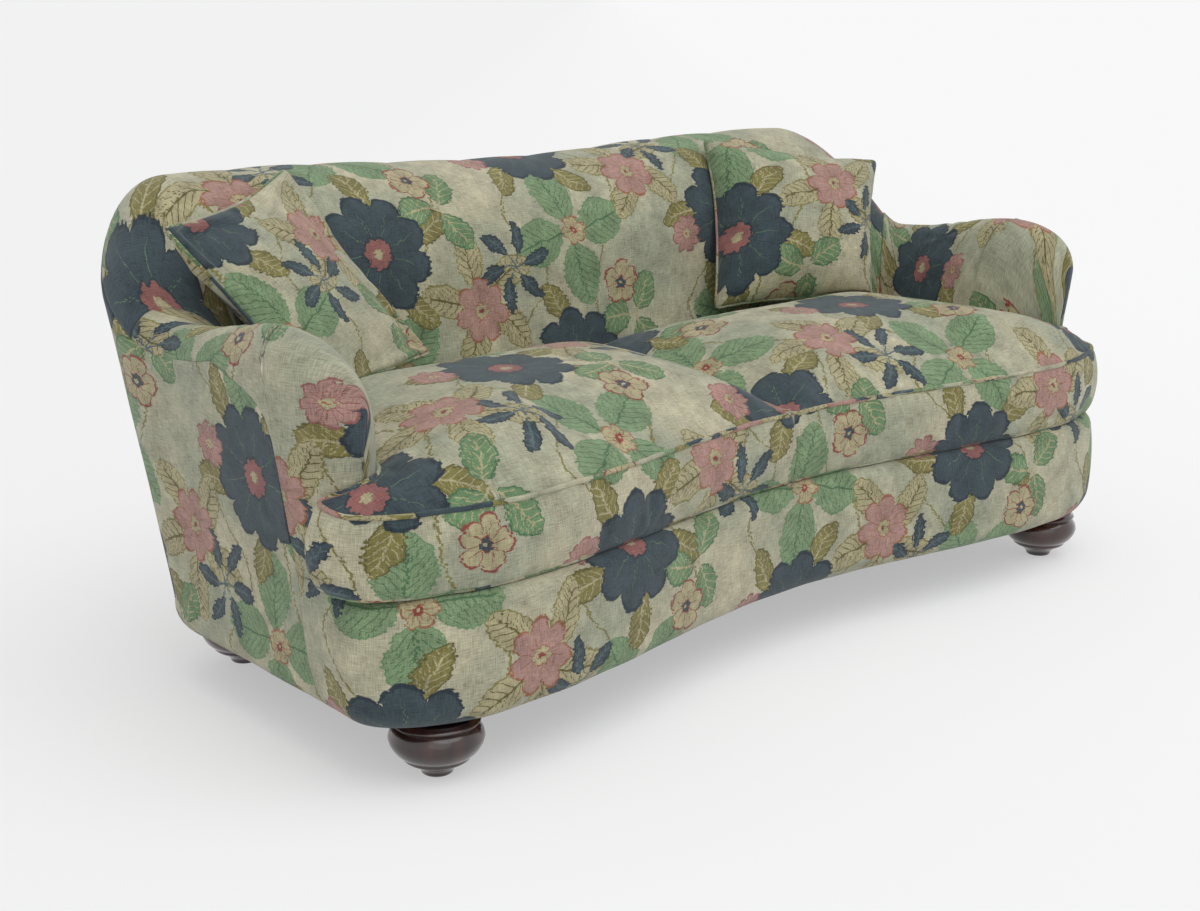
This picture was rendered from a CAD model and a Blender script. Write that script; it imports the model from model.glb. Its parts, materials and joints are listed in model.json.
# Cabriole sofa in printed linen: covers, seat and scatter cushions, turned feet, studio.
# Metres. The sofa stands on z = 0 and its front faces -Y.
import json
import math

import bmesh
import bpy
import numpy as np
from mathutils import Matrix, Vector, geometry
from mathutils.bvhtree import BVHTree


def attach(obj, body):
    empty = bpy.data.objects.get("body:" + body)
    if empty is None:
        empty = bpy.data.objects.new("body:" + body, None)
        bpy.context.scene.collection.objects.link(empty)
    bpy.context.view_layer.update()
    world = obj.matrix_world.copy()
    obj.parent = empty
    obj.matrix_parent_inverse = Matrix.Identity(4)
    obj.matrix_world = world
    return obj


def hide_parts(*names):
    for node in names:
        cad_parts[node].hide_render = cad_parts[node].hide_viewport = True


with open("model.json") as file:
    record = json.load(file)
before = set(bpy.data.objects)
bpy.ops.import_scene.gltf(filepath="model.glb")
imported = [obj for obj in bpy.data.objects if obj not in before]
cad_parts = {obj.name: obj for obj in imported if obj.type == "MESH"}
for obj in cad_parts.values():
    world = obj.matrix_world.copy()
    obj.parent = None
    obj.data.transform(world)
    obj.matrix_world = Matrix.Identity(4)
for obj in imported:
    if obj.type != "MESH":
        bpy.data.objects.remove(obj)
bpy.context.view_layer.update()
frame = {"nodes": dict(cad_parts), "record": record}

# ---- Sizes of the sofa: depths run from the front-most line of its base, levels from the floor ----

front_line = -0.47179
foot_height, hem_drop, hem_radius, hem_lip = 0.104, 0.006, 0.040, 0.050
seat_level, cushion_border, cushion_crown = 0.306, 0.128, 0.106
arm_height_front, arm_height_rear, back_height, back_dip = 0.684, 0.648, 0.855, 0.018
front_half, rear_half, swell_half, front_hollow = 0.950, 0.923, 0.720, 0.083
corner_depth, body_depth, rear_radius, back_bow = 0.140, 0.827, 0.212, 0.012
seat_half_front, seat_half_rear, seat_depth, inside_radius = 0.815, 0.800, 0.616, 0.110
arm_tip_x, arm_tip_y, arm_tip_level, arm_seam_y, arm_inside_y = 0.905, 0.163, 0.575, 0.262, 0.320
outside_lean, arm_inside_lean, back_inside_lean, lean_start = 0.13, 0.10, 0.18, 0.300
rear_lean, rear_lean_start, side_rail_end, rear_blend = 0.17, 0.150, 2.98, 0.45
outer_roll_width, back_roll_width, outer_roll_height, inner_roll_height = 0.064, 0.084, 0.066, 0.235
rise_start, rise_length, dip_start = 3.02, 0.78, 4.2
arm_join, panel_join = 3.17, 3.55
top_edge_radius, top_lip = 0.022, 0.038
cover_foot = seat_level + 0.0006
cover_thickness = 0.0035
wadding_gap, wadding_thickness = 0.0075, 0.010
top_seam_drop = 0.052
piping_radius = 0.0045
left_print_shift = (0.31, 0.12)
outer_arc_points, inner_arc_points = 24, 40
outline_step = 0.004

rear_corner_y = body_depth - rear_radius

# The seam between the front of an arm and its outside panel: each level with its depth
seam_places = [
    (0.098, 0.202), (0.122, 0.209), (0.170, 0.236), (0.251, 0.254), (0.300, 0.262), (0.393, 0.270),
    (0.464, 0.270), (0.511, 0.272), (0.557, 0.286), (0.577, 0.309), (0.589, 0.338), (0.598, 0.366),
    (0.607, 0.400), (0.615, 0.435), (0.623, 0.470)]
seam_levels, seam_depths = zip(*seam_places)


def mix(a, b, t):
    return a + (b - a) * t


def smooth(t):
    """An even step from 0 to 1."""
    t = min(max(t, 0.0), 1.0)
    return t * t * (3 - 2 * t)


def rear_point(u, corner_x, depth, radius):
    """A place from 3 to 5 of an outline: round its rear corner, then along the bowed back."""
    if u <= 4:
        angle = (u - 3) * math.pi / 2
        return np.array([corner_x + radius * math.cos(angle), depth - radius + radius * math.sin(angle)])
    return np.array([corner_x * (5 - u), depth + back_bow * math.sin((u - 4) * math.pi / 2)])


def outline_point(u):
    """The base outline in plan: 0 middle of the front, 1 swell, 2 behind the front corner, 3 before the
    rear corner, 4 behind it, 5 middle of the back."""
    if u <= 1:
        return np.array([swell_half * u, front_hollow * (1 + math.cos(math.pi * u)) / 2])
    if u <= 2:
        angle = (u - 1) * math.pi / 2
        return np.array([
            swell_half + (front_half - swell_half) * math.sin(angle), corner_depth * (1 - math.cos(angle))])
    if u <= 3:
        return np.array([mix(front_half, rear_half, u - 2), mix(corner_depth, rear_corner_y, u - 2)])
    return rear_point(u, rear_half - rear_radius, body_depth, rear_radius)


def around(u):
    """A place anywhere round the outline: below 0 on the left front, above 5 on the left back."""
    if u < 0:
        return outline_point(-u) * (-1, 1)
    return outline_point(10 - u) * (-1, 1) if u > 5 else outline_point(u)


def station(u):
    """A place on the outline and the direction outwards there."""
    along = around(u + outline_step) - around(u - outline_step)
    along /= np.hypot(*along)
    return around(u), np.array([along[1], -along[0]])


def side_u(depth):
    """The place on the straight side of the outline at a depth."""
    return 2 + (depth - corner_depth) / (rear_corner_y - corner_depth)


arm_seam_u = side_u(arm_seam_y)


def side_lean(z):
    return outside_lean * max(0.0, z - lean_start)


def rear_share(u):
    """0 along the sides, 1 at the back."""
    return smooth((5 - abs(5 - abs(u)) - side_rail_end) / rear_blend)


def lean(z, u):
    """How far the outside leans out at a level."""
    return mix(side_lean(z), rear_lean * max(0.0, z - rear_lean_start), rear_share(u))


def crest_height(u):
    w = 10 - u if u > 5 else u
    arm = mix(arm_height_front, arm_height_rear, smooth((w - arm_seam_u) / (3 - arm_seam_u)))
    height = mix(arm, back_height, smooth((w - rise_start) / rise_length))
    return height - back_dip * smooth((w - dip_start) / (5 - dip_start))


def inside_point(u):
    """The foot of the arm's or back's inside, across from a place on the outline."""
    if u > 3:
        return rear_point(u, seat_half_rear - inside_radius, seat_depth, inside_radius)
    t = min(max((u - arm_seam_u) / (3 - arm_seam_u), 0), 1)
    return np.array([mix(seat_half_front, seat_half_rear, t), mix(arm_inside_y, seat_depth - inside_radius, t)])


def body_station(u, inset=0.0):
    """Plan places and levels of the arm's or back's cross-section at a place on the right half."""
    point, normal = station(u)
    height = crest_height(u)
    outer_level, inner_level = height - outer_roll_height, height - inner_roll_height
    foot = inside_point(u)
    across = (point - foot) / np.hypot(*(point - foot))
    inner_lean = mix(arm_inside_lean, back_inside_lean, smooth(u - 3))
    roll = mix(outer_roll_width, back_roll_width, rear_share(u))
    return {
        "height": height - inset, "outer_level": outer_level, "inner_level": inner_level,
        "outer_foot": point + normal * (lean(seat_level, u) - inset),
        "outer_edge": point + normal * (lean(outer_level, u) - inset),
        "crest": point + normal * lean(height, u) - across * roll,
        "inner_edge": foot + across * (inner_lean * (inner_level - seat_level) + inset),
        "inner_foot": foot + across * inset,
    }


def nose_station(angle, inset=0.0):
    """A cross-section round the front of the right arm, at an angle from its tip."""
    full = body_station(arm_seam_u, inset)
    sine, back = math.sin(angle), 1 - math.cos(angle)
    levels = {k: mix(arm_tip_level, full[k], sine) for k in ("outer_level", "inner_level", "height")}

    def at(end, level, reach=sine):
        return np.array([mix(arm_tip_x, end[0], reach), mix(arm_tip_y - side_lean(level) + inset, end[1], back)])

    return {
        **levels,
        "outer_foot": at(full["outer_foot"], seat_level, math.sqrt(sine)),
        "outer_edge": at(full["outer_edge"], levels["outer_level"]),
        "crest": at(full["crest"], levels["height"]),
        "inner_edge": at(full["inner_edge"], levels["inner_level"]),
        "inner_foot": at(full["inner_foot"], seat_level),
    }


def section_curve(s, start_level=None):
    """Points of a cross-section from the outside, over the roll, to the foot of the inside."""
    points = [(*s["outer_foot"], cover_foot)]
    for angle in np.linspace(0, math.pi / 2, outer_arc_points):
        plan = mix(s["crest"], s["outer_edge"], math.cos(angle))
        points.append((*plan, mix(s["outer_level"], s["height"], math.sin(angle))))
    crest = len(points) - 1
    for angle in np.linspace(math.pi / 2, 0, inner_arc_points)[1:]:
        plan = mix(s["crest"], s["inner_edge"], math.cos(angle))
        points.append((*plan, mix(s["inner_level"], s["height"], math.sin(angle))))
    points.append((*s["inner_foot"], cover_foot))
    points = np.array(points)
    if start_level and start_level > cover_foot:
        first = next(i for i in range(crest) if points[i + 1][2] > start_level)
        share = (start_level - points[first][2]) / (points[first + 1][2] - points[first][2])
        points = np.vstack([mix(points[first], points[first + 1], share), points[first + 1:]])
        crest -= first
    return points, crest


def lengths(points):
    """The distance along a line at each of its points."""
    steps = np.linalg.norm(np.diff(points, axis=0), axis=1)
    return np.concatenate([[0.0], np.cumsum(steps)])


def closed(loop):
    """A closed line's points, with the first one again at the end."""
    return np.vstack([loop, loop[:1]])


def gaps_to(loop, spots):
    """The distance from each spot to the nearest point of a loop."""
    return np.array([np.min(np.hypot(*(loop - spot).T)) for spot in spots])


def resample(points, count, crest):
    """The curve as evenly spaced points, with each one's distance from the crest."""
    run = lengths(points)
    at = np.linspace(0, run[-1], count)
    spots = np.column_stack([np.interp(at, run, points[:, k]) for k in range(3)])
    return spots, at - run[crest]


# ---- Meshes ----


def apply_modifiers(obj):
    bpy.ops.object.select_all(action="DESELECT")
    bpy.context.view_layer.objects.active = obj
    obj.select_set(True)
    for modifier in list(obj.modifiers):
        bpy.ops.object.modifier_apply(modifier=modifier.name)


def thicken(obj, thickness):
    """Gives a sheet its thickness, on its inner side."""
    solidify = obj.modifiers.new("cloth", "SOLIDIFY")
    solidify.thickness = thickness
    solidify.offset = -1
    apply_modifiers(obj)


def coordinates(obj):
    found = np.empty(len(obj.data.vertices) * 3)
    obj.data.vertices.foreach_get("co", found)
    return found.reshape(-1, 3)


def move_points(obj, places):
    obj.data.vertices.foreach_set("co", places.ravel())
    obj.data.update()


def add_object(name, data):
    obj = bpy.data.objects.new(name, data)
    bpy.context.scene.collection.objects.link(obj)
    return obj


def mesh_object(name, points, faces, corner_uvs=None, point_uvs=None):
    """A smooth mesh whose print lies by the corners of its faces, or by its points."""
    mesh = bpy.data.meshes.new(name)
    mesh.from_pydata([tuple(p) for p in points], [], faces)
    layer = mesh.uv_layers.new(name="cloth")
    order = np.zeros(len(mesh.loops), dtype=np.int32)
    mesh.loops.foreach_get("vertex_index", order)
    uvs = np.asarray(corner_uvs) if corner_uvs is not None else np.asarray(point_uvs)[order]
    layer.data.foreach_set("uv", uvs.astype(np.float32).ravel())
    mesh.shade_smooth()
    return add_object(name, mesh)


def to_sofa(points):
    """From depths behind the front-most line to the frame's own Y."""
    return np.asarray(points) + (0.0, front_line, 0.0)


def grid_normals(grid):
    rows = np.gradient(grid, axis=0)
    columns = np.gradient(grid, axis=1)
    normals = np.cross(rows, columns)
    return normals / np.maximum(np.linalg.norm(normals, axis=2, keepdims=True), 1e-9)


def grid_faces(rows, columns, flip):
    faces = []
    for i in range(rows - 1):
        for j in range(columns - 1):
            a, b, c, d = i * columns + j, i * columns + j + 1, (i + 1) * columns + j + 1, (i + 1) * columns + j
            faces.append((a, d, c, b) if flip else (a, b, c, d))
    return faces


def ring_faces(rings, count):
    """Faces between closed rings of points that follow one another."""
    return [(i * count + j, i * count + k, (i + 1) * count + k, (i + 1) * count + j)
            for i in range(rings - 1) for j, k in zip(range(count), [*range(1, count), 0])]


outer_faces = {}  # how many of each cover's faces lie outside, on top of its thickness


def cover(name, grid, uvs, flip, nodes, thickness=cover_thickness, over=None):
    """A cover of cloth over a grid of points, with the cloth's thickness on its inner side. over names what
    it is stretched on."""
    rows, columns = grid.shape[:2]
    faces = grid_faces(rows, columns, flip)
    obj = mesh_object(name, to_sofa(grid).reshape(-1, 3), faces, point_uvs=uvs.reshape(-1, 2))
    sewn = bmesh.new()
    sewn.from_mesh(obj.data)
    bmesh.ops.remove_doubles(sewn, verts=sewn.verts, dist=1e-5)
    sewn.to_mesh(obj.data)
    sewn.free()
    outer_faces[name] = len(obj.data.polygons)
    thicken(obj, thickness)
    if over:
        flat = [max(lengths(line)[-1] for line in lines) for lines in (np.swapaxes(grid, 0, 1), grid)]
    return dress(obj, "sofa", nodes)


def wadding(name, grid, flip, nodes):
    """The layer of wadding under a cover."""
    under = grid - grid_normals(grid) * (wadding_gap if flip else -wadding_gap)
    obj = cover(name, under, np.zeros(grid.shape[:2] + (2,)), flip, nodes, wadding_thickness)
    dress(obj, "sofa", material=padding)


def covers_of_both_sides(name, grid, uvs, flip, node, over, print_shift=(0.0, 0.0)):
    """A cover on the right and its twin on the left, whose print lies otherwise."""
    cover(f"{name}_right", grid, uvs, flip, [f"{node}_right"], over=f"{over}_right")
    cover(f"{name}_left", grid * (-1, 1, 1), uvs * (-1, 1) + print_shift, not flip, [f"{node}_left"],
          over=f"{over}_left")


def dress(obj, body, nodes=(), material=None):
    """Gives a piece its material, its body and the nodes that it stands for."""
    obj.data.materials.clear()
    obj.data.materials.append(material or printed_linen)
    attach(obj, body)
    if nodes:
        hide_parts(*nodes)
    return obj


def ripple(x, y, seed, scale):
    """Soft unevenness of stretched cloth, between about -1 and 1."""
    rng = np.random.default_rng(seed)
    total = np.zeros_like(x)
    for _ in range(6):
        angle, phase = rng.uniform(0, 2 * math.pi, 2)
        pitch = scale * rng.uniform(0.6, 1.6)
        total += np.sin((x * math.cos(angle) + y * math.sin(angle)) * 2 * math.pi / pitch + phase)
    return total / 4


def uneven(grid, uvs, height, seed, pitch):
    """The grid with its faces drawn in and out a little."""
    return grid + grid_normals(grid) * height * ripple(uvs[..., 0], uvs[..., 1], seed, pitch)[..., None]


# ---- Materials ----


def tone(red, green, blue):
    def linear(c):
        c /= 255
        return c / 12.92 if c <= 0.04045 else ((c + 0.055) / 1.055) ** 2.4
    return (linear(red), linear(green), linear(blue), 1.0)


class Nodes:
    """Adds and joins shader nodes by name."""

    def __init__(self, tree):
        self.tree = tree

    def add(self, kind, inputs=None, **settings):
        node = self.tree.nodes.new(kind)
        for key, value in settings.items():
            setattr(node, key, value)
        return self.fill(node, inputs or {})

    def fill(self, node, inputs):
        for key, value in inputs.items():
            if isinstance(value, bpy.types.NodeSocket):
                self.tree.links.new(value, node.inputs[key])
            else:
                node.inputs[key].default_value = value
        return node

    def math(self, operation, *values):
        return self.add("ShaderNodeMath", dict(enumerate(values)), operation=operation).outputs[0]

    def vector(self, operation, a, b=None):
        node = self.add("ShaderNodeVectorMath", {0: a}, operation=operation)
        if b is not None:
            self.fill(node, {"Scale" if operation == "SCALE" else 1: b})
        return node.outputs["Value" if operation == "DOT_PRODUCT" else "Vector"]

    def split(self, vector):
        return self.add("ShaderNodeSeparateXYZ", {0: vector}).outputs

    def join(self, x, y=0.0):
        return self.add("ShaderNodeCombineXYZ", {"X": x, "Y": y}).outputs[0]

    def place(self):
        """The place in the object's own metres."""
        return self.add("ShaderNodeTexCoord").outputs["Object"]

    def ramp(self, value, low, high):
        """1 below low, 0 above high."""
        return self.add("ShaderNodeMapRange", {
            "Value": value, "From Min": low, "From Max": high, "To Min": 1.0, "To Max": 0.0}).outputs["Result"]

    def paint(self, under, over, mask):
        node = self.add("ShaderNodeMix", {"Factor": mask, "A": under, "B": over}, data_type="RGBA")
        return node.outputs["Result"]

    def noise(self, vector, scale, detail=2.0, output="Fac"):
        node = self.add("ShaderNodeTexNoise", {"Vector": vector, "Scale": scale, "Detail": detail})
        return node.outputs[output]

    def weave(self, across, along, pitch):
        """Yarns that cross, a pitch apart."""
        warp, weft = (self.math("SINE", self.math("MULTIPLY", way, 2 * math.pi / pitch)) for way in (across, along))
        return self.math("MULTIPLY", warp, weft)

    def bump(self, height, strength, distance):
        return self.add("ShaderNodeBump", {
            "Strength": strength, "Distance": distance, "Height": height}).outputs["Normal"]


def new_material(name):
    material = bpy.data.materials.new(name)
    material.use_nodes = True
    return material, Nodes(material.node_tree), material.node_tree.nodes["Principled BSDF"]


# The print's repeat, and the steps along the yarns by which its edges are ragged
repeat = (0.46, 0.50)
yarn_step = (0.016, 0.0042, 1.0)
edge_jolt = 0.007
weave_pitch = 0.0011
slub_scales = (50.0, 700.0)
grain_stretch = (1.0, 1.0, 0.12)


def motif_place(n, uv, place, turn):
    """The way from the middle of the nearest motif, in metres, where motifs stand in a half-drop repeat.
    Returns the distance and the angle, each motif turned its own way."""
    shares = n.vector("DIVIDE", uv, (*repeat, 1.0))
    shifted = n.vector("SUBTRACT", shares, (*place, 0.0))
    split = n.split(shifted)
    column = n.math("ROUND", split[0])
    dropped = n.math("MULTIPLY_ADD", column, 0.5, split[1])
    row = n.math("ROUND", dropped)
    x = n.math("MULTIPLY", n.math("SUBTRACT", split[0], column), repeat[0])
    y = n.math("MULTIPLY", n.math("SUBTRACT", dropped, row), repeat[1])
    distance = n.math("SQRT", n.math("ADD", n.math("MULTIPLY", x, x), n.math("MULTIPLY", y, y)))
    cell = n.math("MULTIPLY_ADD", column, 2.4, n.math("MULTIPLY", row, 1.7))
    angle = n.math("ADD", n.math("ARCTAN2", y, x), n.math("ADD", cell, turn))
    return distance, angle


def blossom(n, under, uv, place, turn, petals, radius, colours, notch):
    """A flower with rounded petals: colours are petal, edge, vein, heart and eye."""
    petal, edge, vein, heart, eye = colours
    distance, angle = motif_place(n, uv, place, turn)
    half = n.math("MULTIPLY", angle, petals / 2)
    round_share = n.math("ABSOLUTE", n.math("COSINE", half))
    rounded = n.math("POWER", round_share, 0.55)
    reach = n.math("MULTIPLY_ADD", rounded, notch * radius, (1 - notch) * radius)
    t = n.math("DIVIDE", distance, reach)
    soft = 0.0022 / radius
    colour = n.paint(under, edge, n.ramp(t, 1.0, 1.0 + soft))
    colour = n.paint(colour, petal, n.ramp(t, 0.955 - soft, 0.955))
    gap = n.math("MULTIPLY", round_share, distance)
    between = n.math("MULTIPLY", n.ramp(gap, 0.0012, 0.0026), n.ramp(t, 0.93, 1.0))
    colour = n.paint(colour, edge, between)
    across = n.math("MULTIPLY", n.math("ABSOLUTE", n.math("SINE", half)), distance)
    line = n.math("MULTIPLY", n.ramp(across, 0.0010, 0.0028), n.ramp(t, 0.62, 0.78))
    colour = n.paint(colour, vein, line)
    colour = n.paint(colour, edge, n.ramp(t, 0.285, 0.31))
    colour = n.paint(colour, heart, n.ramp(t, 0.25, 0.27))
    return n.paint(colour, eye, n.ramp(t, 0.085, 0.10))


def leaves(n, under, uv, place, turn, count, start, end, width, colours, bend):
    """A whorl of pointed leaves with a midrib and side veins: colours are leaf, edge and vein."""
    leaf, edge, vein = colours
    distance, angle = motif_place(n, uv, place, turn)
    slot_angle = 2 * math.pi / count
    turned = n.math("SUBTRACT", n.math("FLOORED_MODULO", angle, slot_angle), slot_angle / 2)
    bent = n.math("MULTIPLY_ADD", distance, bend, turned)
    x = n.math("MULTIPLY", distance, n.math("COSINE", bent))
    y = n.math("ABSOLUTE", n.math("MULTIPLY", distance, n.math("SINE", bent)))
    along = n.math("DIVIDE", n.math("SUBTRACT", x, start), end - start)
    inside = n.math("MULTIPLY", along, n.math("SUBTRACT", 1.0, along))
    belly = n.math("MULTIPLY", n.math("POWER", n.math("MAXIMUM", inside, 0.0), 0.75), width * 2.83)
    serrated = n.math("MULTIPLY_ADD", n.math("PINGPONG", x, 0.006), 0.45, belly)
    over = n.math("SUBTRACT", y, serrated)
    within = n.math("GREATER_THAN", inside, 0.004)
    colour = n.paint(under, edge, n.math("MULTIPLY", n.ramp(over, 0.0, 0.0012), within))
    colour = n.paint(colour, leaf, n.math("MULTIPLY", n.ramp(over, -0.0034, -0.0022), within))
    slanted = n.math("PINGPONG", n.math("SUBTRACT", x, n.math("MULTIPLY", y, 0.9)), 0.0075)
    ribs = n.math("MULTIPLY", n.ramp(slanted, 0.0006, 0.0016), n.ramp(over, -0.006, -0.004))
    colour = n.paint(colour, vein, n.math("MULTIPLY", ribs, within))
    stalk = n.math("MULTIPLY", n.ramp(y, 0.0012, 0.0024), n.ramp(x, end - 0.022, end - 0.012))
    return n.paint(colour, vein, stalk)


def stems(n, under, uv, colour):
    """Two winding stems that run up the cloth."""
    split = n.split(uv)
    for shift, swing, turns in ((0.11, 0.052, 1.0), (0.36, 0.040, 2.0)):
        wave = n.math("SINE", n.math("MULTIPLY", split[1], 2 * math.pi * turns / repeat[1]))
        middle = n.math("MULTIPLY_ADD", wave, swing, shift)
        wrapped = n.math("WRAP", n.math("SUBTRACT", split[0], middle), repeat[0] / 2, -repeat[0] / 2)
        mask = n.ramp(n.math("ABSOLUTE", wrapped), 0.0016, 0.0030)
        under = n.paint(under, colour, mask)
    return under


def make_printed_linen():
    material, n, shader = new_material("printed_linen")
    uv = n.add("ShaderNodeUVMap", uv_map="cloth").outputs["UV"]
    wobble = n.vector("SUBTRACT", n.noise(uv, 26.0, 4.0, "Color"), (0.5, 0.5, 0.5))
    drawn = n.vector("ADD", uv, n.vector("SCALE", wobble, 0.018))
    # The block's edges are ragged, step by step along the yarns
    steps = n.vector("FLOOR", n.vector("DIVIDE", uv, yarn_step))
    jolt = n.add("ShaderNodeTexWhiteNoise", {"Vector": steps}, noise_dimensions="2D").outputs["Value"]
    drawn = n.vector("ADD", drawn, n.join(n.math("MULTIPLY_ADD", jolt, edge_jolt, -edge_jolt / 2)))

    cream, sage = tone(196, 190, 162), tone(168, 171, 148)
    slate, slate_deep, steel = tone(67, 81, 87), tone(50, 62, 70), tone(92, 110, 114)
    leaf_green, fern, moss = tone(112, 144, 104), tone(84, 118, 84), tone(132, 156, 118)
    olive, olive_deep = tone(134, 128, 76), tone(104, 98, 56)
    pink, rose, rust, red = tone(178, 142, 132), tone(152, 102, 98), tone(158, 104, 78), tone(144, 72, 68)
    straw = tone(180, 172, 136)

    cloth_patches = n.ramp(n.noise(uv, 5.0, 3.0), 0.40, 0.62)
    colour = n.paint(cream, sage, cloth_patches)
    colour = stems(n, colour, drawn, olive)
    # Place and turn, then leaves, start, end, width, colours and bend
    for spray in (
            ((0.03, 0.47), 0.9, 4, 0.020, 0.150, 0.046, (moss, leaf_green, fern), 0.7),
            ((0.0, 0.0), 0.6, 5, 0.092, 0.186, 0.026, (olive, olive_deep, straw), 1.6),
            ((0.50, 0.20), 1.3, 5, 0.030, 0.146, 0.030, (straw, olive, olive_deep), -2.0),
            ((0.36, -0.16), 0.2, 3, 0.012, 0.098, 0.030, (leaf_green, fern, straw), 2.2),
            ((-0.31, -0.42), 2.0, 6, 0.026, 0.092, 0.013, (slate, slate_deep, steel), 3.0)):
        colour = leaves(n, colour, drawn, *spray)
    # Place and turn, then petals, radius, colours and notch
    for flower in (
            ((0.0, 0.0), 0.0, 9, 0.118, (slate, slate_deep, leaf_green, rose, straw), 0.24),
            ((0.49, 0.24), 0.4, 7, 0.064, (pink, rust, rust, straw, red), 0.40),
            ((0.29, -0.30), 1.0, 5, 0.046, (straw, red, red, slate, straw), 0.34),
            ((-0.28, 0.06), 0.8, 8, 0.040, (pink, rose, red, straw, rust), 0.30),
            ((0.05, 0.46), 0.2, 6, 0.030, (straw, rust, rust, red, straw), 0.36)):
        colour = blossom(n, colour, drawn, *flower)

    # The ink lies unevenly on slubby yarns
    split = n.split(uv)
    slubs = n.math("ADD", *(
        n.noise(n.join(n.math("MULTIPLY", split[0], across), n.math("MULTIPLY", split[1], along)), 1.0)
        for across, along in (slub_scales, slub_scales[::-1])))
    wear = n.noise(uv, 24.0, 6.0)
    shade = n.math("MULTIPLY_ADD", n.math("SUBTRACT", slubs, 1.0), 1.0, 0.88)
    shade = n.math("MULTIPLY_ADD", n.math("SUBTRACT", wear, 0.5), 0.85, shade)
    height = n.math("MULTIPLY_ADD", n.weave(split[0], split[1], weave_pitch), 0.25, slubs)
    n.fill(shader, {
        "Base Color": n.add("ShaderNodeHueSaturation", {"Value": shade, "Color": colour}).outputs[0],
        "Normal": n.bump(height, 0.35, 0.0012), "Roughness": 0.88, "Sheen Weight": 0.22,
        "Sheen Roughness": 0.45, "Specular IOR Level": 0.25})
    return material


def grained_material(name, dark, pale, scale, roughness, coat=0.0, depth=0.0004, metallic=0.0):
    """Wood, or drawn metal, with its grain along Z."""
    material, n, shader = new_material(name)
    mapped = n.add("ShaderNodeMapping", {"Vector": n.place(), "Scale": grain_stretch}).outputs[0]
    fine = n.noise(mapped, scale, 5.0)
    broad = n.noise(mapped, scale / 6, 2.0)
    grain = n.math("MULTIPLY_ADD", n.math("SUBTRACT", broad, 0.5), 0.8, fine)
    n.fill(shader, {
        "Base Color": n.paint(dark, pale, n.ramp(grain, 0.68, 0.34)), "Normal": n.bump(fine, 0.3, depth),
        "Roughness": roughness, "Coat Weight": coat, "Coat Roughness": 0.08, "Metallic": metallic})
    return material


def woven_material(name, dark, pale, pitch):
    """A plain cloth or felt with its yarns a pitch apart."""
    material, n, shader = new_material(name)
    place = n.place()
    x, y, z = n.split(place)
    weave = n.weave(n.math("ADD", x, z), n.math("ADD", y, z), pitch)
    value = n.math("MULTIPLY_ADD", weave, 0.15, n.noise(place, 9.0, 4.0))
    n.fill(shader, {
        "Base Color": n.paint(dark, pale, n.ramp(value, 0.75, 0.25)),
        "Normal": n.bump(weave, 0.4, pitch * 0.4), "Roughness": 0.95})
    return material


printed_linen = make_printed_linen()
mahogany = grained_material("mahogany", tone(36, 18, 14), tone(70, 36, 28), 46.0, 0.24, coat=0.7, depth=0.0001)
hardwood = grained_material("hardwood", tone(150, 112, 68), tone(196, 160, 112), 60.0, 0.75)
spring_steel = grained_material(
    "spring_steel", tone(96, 100, 104), tone(150, 154, 158), 300.0, 0.35, metallic=1.0)
platform_cloth = woven_material("platform_cloth", tone(150, 148, 122), tone(180, 178, 152), 0.002)
black_cloth = woven_material("black_cloth", tone(22, 22, 24), tone(38, 38, 40), 0.0016)
padding = woven_material("padding", tone(214, 206, 184), tone(236, 230, 214), 0.006)
webbing = woven_material("webbing", tone(128, 112, 82), tone(164, 148, 114), 0.004)

slot_materials = {
    "frame_wood": hardwood, "foot_wood": mahogany, "spring_steel": spring_steel, "padding": padding,
    "platform_cloth": platform_cloth, "black_cloth": black_cloth, "webbing": webbing,
}
for part in frame["record"]["subparts"]:
    node = frame["nodes"][part["node"]]
    finish = slot_materials.get(part["material_slot"])
    if finish:
        node.data.materials.clear()
        node.data.materials.append(finish)


# ---- Covers of the base ----

border_swell, corner_swell, swell_foot, swell_height = 0.004, 0.009, 0.10, 0.20
under_arm_start, under_arm_length, edge_radius_under_arm = 0.155, 0.05, 0.001
border_columns, border_face_rows, border_edge_rows = 330, 20, 6
corner_start, corner_length, corner_fade, swell_roundness = 1.1, 0.7, 0.25, 0.6
panel_rounds = 9  # until a panel's edge and the level of its seam agree
# Height, random seed and pitch of each cover's unevenness
border_unevenness, panel_unevenness = (-0.0008, 3, 0.12), (-0.0009, 5, 0.20)
arm_unevenness, back_unevenness = (0.0009, 11, 0.16), (0.0012, 21, 0.24)


def seam_u(level):
    """The place of the arm front's seam at a level."""
    return side_u(float(np.interp(level, seam_levels, seam_depths)))


def panel_top(u):
    return crest_height(u) - top_seam_drop


def hem_profile(count=9):
    """Offset and level of the padded hem, from its lip under the rail to the upright face."""
    bottom = foot_height - hem_drop
    angles = np.linspace(-math.pi / 2, 0, count)
    arc = [(-hem_radius + hem_radius * math.cos(a), bottom + hem_radius + hem_radius * math.sin(a)) for a in angles]
    return [(-hem_lip, bottom)] + arc


border_height_of_seat = lengths(np.array(hem_profile()))[-1] + seat_level - hem_profile()[-1][1]


def swept(columns, profile_at, rows):
    """A grid along the base outline. columns gives each row's places for its level."""
    grid, uvs = [], []
    for row in range(rows):
        line, marks = [], []
        for share in np.linspace(0, 1, columns["count"]):
            u = columns["place"](share, row)
            point, normal = station(u)
            offset, level, height = profile_at(u, row)
            line.append((*(point + normal * offset), level))
            marks.append((columns["along"](u), height))
        grid.append(line)
        uvs.append(marks)
    return np.array(grid), np.array(uvs)


outline_marks = np.linspace(-5, 5, 4001)
outline_runs = lengths(np.array([around(u) for u in outline_marks]))
outline_runs -= np.interp(0, outline_marks, outline_runs)


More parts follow.
